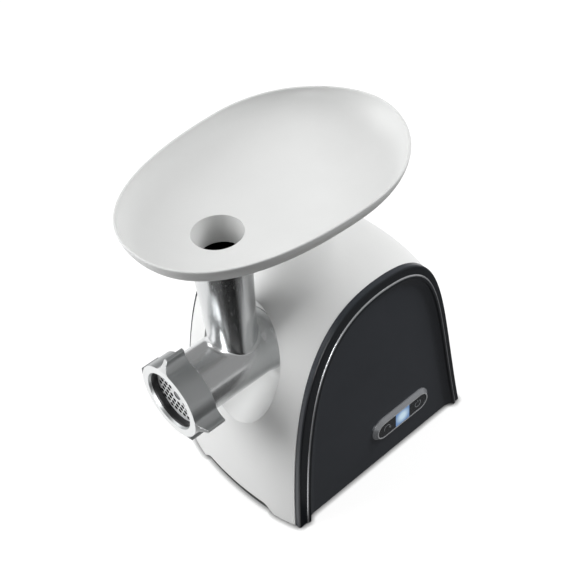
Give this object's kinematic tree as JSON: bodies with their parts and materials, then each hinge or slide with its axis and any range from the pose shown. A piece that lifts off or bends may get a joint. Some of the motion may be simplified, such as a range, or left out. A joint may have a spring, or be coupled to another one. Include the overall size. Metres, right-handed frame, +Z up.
{
  "type": "electric meat grinder",
  "caption": "Electric meat grinder with a domed motor body, side control keys, metal grinding head with ring nut, and an oval lift-off feed tray.",
  "frame": {"origin": "middle of the object's footprint, on the surface that the rubber feet stand on", "axes": "+Z up; the meat outlet and ring nut face -Y; the control keys are on the +X side and the gland for the mains lead is on the -X side"},
  "size_m": [0.2008, 0.3208, 0.3706],
  "materials": {
    "white_plastic": "satin white moulding",
    "charcoal_plastic": "satin charcoal moulding",
    "black_plastic": "fine grain",
    "rubber": "matt",
    "screw_steel": "zinc plated",
    "silver_trim": "satin silver",
    "key_plastic": "satin dark keys",
    "lit_window": "translucent, lit from behind",
    "board": "solder resist",
    "switch_plastic": "moulded",
    "lamp": "clear lens",
    "cast_aluminium": "satin polished casting",
    "ring_metal": "bead blasted with a turned front",
    "tool_steel": "ground",
    "washer_plastic": "slippery plastic",
    "bronze": "sintered",
    "gear_plastic": "glass filled",
    "gear_steel": "hardened",
    "case_metal": "die cast",
    "lamination": "varnished laminations",
    "copper": "enamelled winding",
    "carbon": "graphite"
  },
  "bodies": {
    "body": {"main_shell": "white_plastic", "right_panel": "charcoal_plastic", "left_panel": "charcoal_plastic", "base_plate": "black_plastic", "rubber_feet": "rubber", "base_screws": "screw_steel", "control_bezel": "silver_trim", "display_window": "lit_window", "control_board": "board", "key_switches": "switch_plastic", "window_lamp": "lamp", "first_gear_pin": "gear_steel", "second_gear_pin": "gear_steel", "output_bushes": "bronze", "shaft_seal": "rubber", "gearbox_housing": "case_metal", "gearbox_cover": "case_metal", "gearbox_screws": "screw_steel", "stator_core": "lamination", "field_coils": "copper", "motor_bracket": "case_metal", "motor_bolts": "screw_steel", "motor_bearings": "tool_steel", "carbon_brushes": "carbon", "brush_holders": "bronze", "motor_cradle": "black_plastic", "cord_gland": "rubber"},
    "rotor": {"motor_shaft": "gear_steel", "armature_core": "lamination", "armature_winding": "copper", "commutator": "copper", "cooling_fan": "black_plastic"},
    "first_gear": {"first_gear": "gear_plastic"},
    "second_gear": {"second_gear": "gear_steel"},
    "drive": {"output_wheel": "gear_steel", "output_shaft": "gear_steel", "auger": "cast_aluminium", "auger_washer": "washer_plastic", "knife": "tool_steel"},
    "head": {"grinder_housing": "cast_aluminium", "grinding_plate": "tool_steel", "auger_bush": "bronze"},
    "ring_nut": {"ring_nut": "ring_metal"},
    "tray": {"feed_tray": "white_plastic"},
    "power_key": {"power_key": "key_plastic"},
    "reverse_key": {"reverse_key": "key_plastic"}
  },
  "joints": [
    {"name": "rotor_spin", "type": "hinge", "parent": "body", "child": "rotor", "pos_m": [0, 0.09209, 0.07509], "axis": [0, 1, 0], "continuous": true},
    {"name": "first_gear_turn", "type": "hinge", "parent": "body", "child": "first_gear", "pos_m": [0.0081, 0.03209, 0.10914], "axis": [0, 1, 0], "continuous": true},
    {"name": "second_gear_turn", "type": "hinge", "parent": "body", "child": "second_gear", "pos_m": [0.02811, 0.01709, 0.14086], "axis": [0, 1, 0], "continuous": true},
    {"name": "drive_turn", "type": "hinge", "parent": "body", "child": "drive", "pos_m": [0, -0.01791, 0.181], "axis": [0, 1, 0], "continuous": true},
    {"name": "head_twist", "type": "hinge", "parent": "body", "child": "head", "pos_m": [0, -0.03791, 0.181], "axis": [0, 1, 0], "range_deg": [0, 30]},
    {"name": "ring_nut_turn", "type": "hinge", "parent": "head", "child": "ring_nut", "pos_m": [0, -0.13791, 0.181], "axis": [0, -1, 0], "range_deg": [0, 330]},
    {"name": "tray_lift", "type": "slide", "parent": "head", "child": "tray", "axis": [0, 0, 1], "range_m": [0, 0.06]},
    {"name": "power_key_press", "type": "slide", "parent": "body", "child": "power_key", "axis": [-1, 0, 0], "range_m": [0, 0.0012], "stiffness_N_per_m": 900},
    {"name": "reverse_key_press", "type": "slide", "parent": "body", "child": "reverse_key", "axis": [-1, 0, 0], "range_m": [0, 0.0012], "stiffness_N_per_m": 900}
  ],
  "couplings": [
    {"joint": "first_gear_turn", "follows": "rotor_spin", "ratio": -0.16667},
    {"joint": "second_gear_turn", "follows": "rotor_spin", "ratio": 0.041667},
    {"joint": "drive_turn", "follows": "rotor_spin", "ratio": -0.013889}
  ]
}
